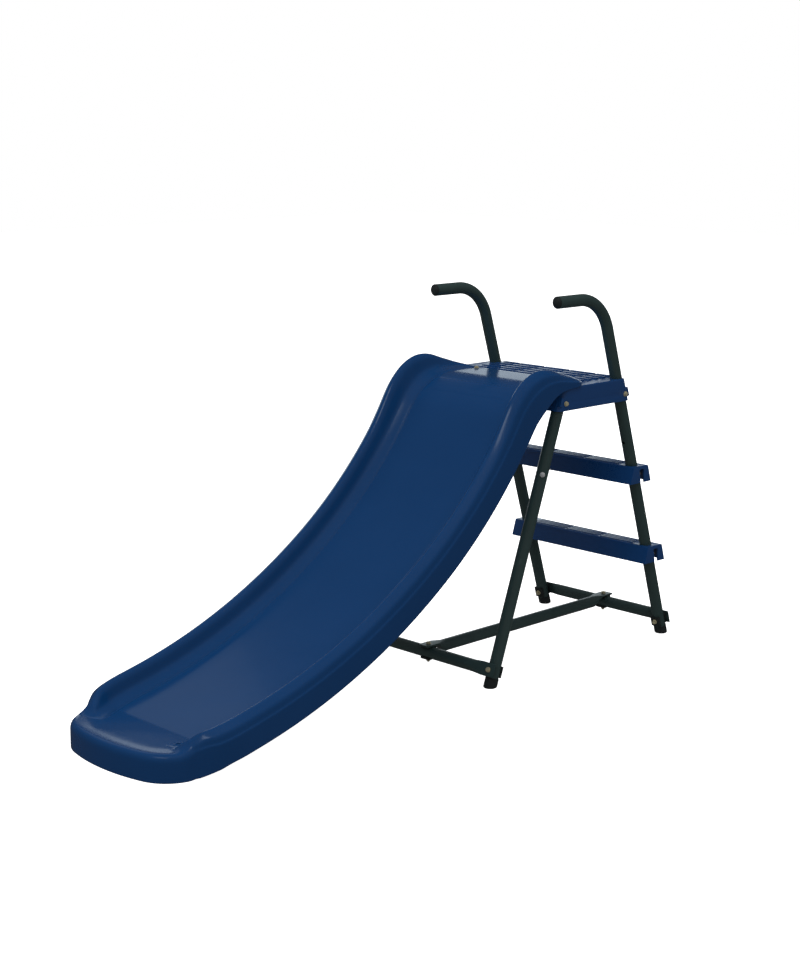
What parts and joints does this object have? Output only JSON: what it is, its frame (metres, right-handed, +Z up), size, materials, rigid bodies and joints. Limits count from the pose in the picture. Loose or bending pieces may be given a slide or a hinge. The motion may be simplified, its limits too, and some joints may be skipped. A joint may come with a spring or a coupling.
{
  "type": "straight slide",
  "caption": "Child's straight slide: moulded trough chute with humped rims, ribbed platform and treads on a tube ladder frame whose uprights bend into handles.",
  "frame": {"origin": "on the ground, in the middle of the footprint's bounding box", "axes": "-Y the way the chute runs out, +X to the right of a child seen from the exit end's left (the tie-bar hole's side), +Z up"},
  "size_m": [0.486, 1.7876, 0.981],
  "materials": {
    "chute_plastic": "glossy dark blue polyethylene",
    "moulded_plastic": "satin gloss dark blue polyethylene",
    "frame_tube": "very dark green-grey powder coat, satin",
    "black_plastic": "matt black",
    "yellow_zinc": "yellow zinc plated steel",
    "bright_screw": "bright zinc plated steel"
  },
  "bodies": {
    "root": {"slide_chute": "chute_plastic", "platform": "moulded_plastic", "step_upper": "moulded_plastic", "step_lower": "moulded_plastic", "upright_left": "frame_tube", "upright_right": "frame_tube", "front_leg_left": "frame_tube", "front_leg_right": "frame_tube", "front_crossbar": "frame_tube", "rear_crossbar": "frame_tube", "centre_brace": "frame_tube", "handle_plug_left": "black_plastic", "handle_plug_right": "black_plastic", "foot_cap_rear_left": "black_plastic", "foot_cap_rear_right": "black_plastic", "foot_cap_front_left": "black_plastic", "foot_cap_front_right": "black_plastic", "front_leg_saddles": "black_plastic", "rear_leg_saddles": "black_plastic", "front_brace_saddles": "black_plastic", "rear_brace_saddles": "black_plastic", "front_leg_screws": "bright_screw", "chute_bolts": "yellow_zinc", "chute_nuts": "yellow_zinc", "chute_washers": "yellow_zinc", "platform_bolts": "yellow_zinc", "platform_nuts": "yellow_zinc", "platform_washers": "yellow_zinc", "step_bolts": "yellow_zinc", "step_nuts": "yellow_zinc", "step_washers": "yellow_zinc", "crossbar_bolts": "yellow_zinc", "crossbar_nuts": "yellow_zinc", "crossbar_washers": "yellow_zinc", "brace_bolts": "yellow_zinc", "brace_nuts": "yellow_zinc", "brace_washers": "yellow_zinc"}
  },
  "joints": []
}
